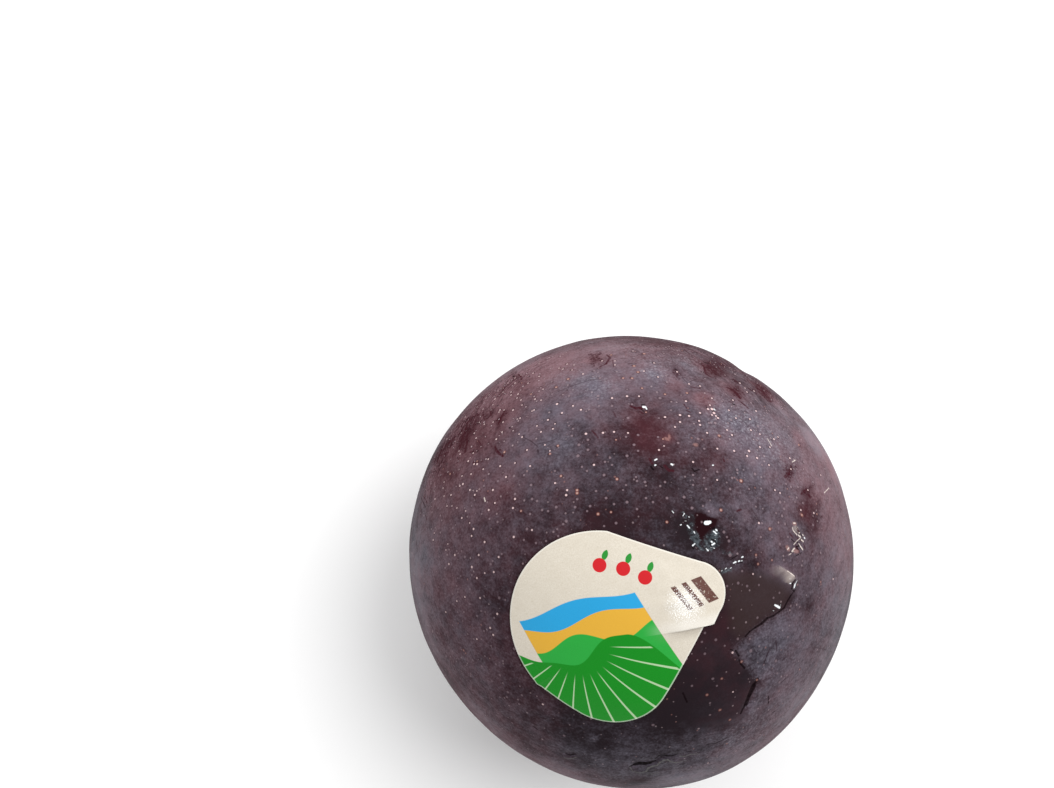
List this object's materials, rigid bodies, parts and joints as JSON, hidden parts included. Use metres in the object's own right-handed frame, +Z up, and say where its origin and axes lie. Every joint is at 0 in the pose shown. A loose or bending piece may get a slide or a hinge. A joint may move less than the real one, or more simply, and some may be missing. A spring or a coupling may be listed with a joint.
{
  "type": "plum",
  "caption": "Whole round dark plum with a stem cavity, a shallow suture and a small plain-printed paper label on its skin, resting on a small flat spot.",
  "frame": {"origin": "middle of the flat spot that the plum rests on, straight below the fruit's centre", "axes": "+Z up from the rest spot, +Y towards the side that the tip leans to, away from the label, +X to the right of the label"},
  "size_m": [0.062, 0.0622, 0.0615],
  "materials": {
    "plum_skin": "dark purple-grey skin with a thin dull waxy bloom and tiny pale dots, rubbed glossier in patches",
    "label_paper": "thin coated paper, warm off-white with a plain printed design, slightly satin"
  },
  "bodies": {
    "root": {"fruit": "plum_skin", "label": "label_paper"}
  },
  "joints": []
}
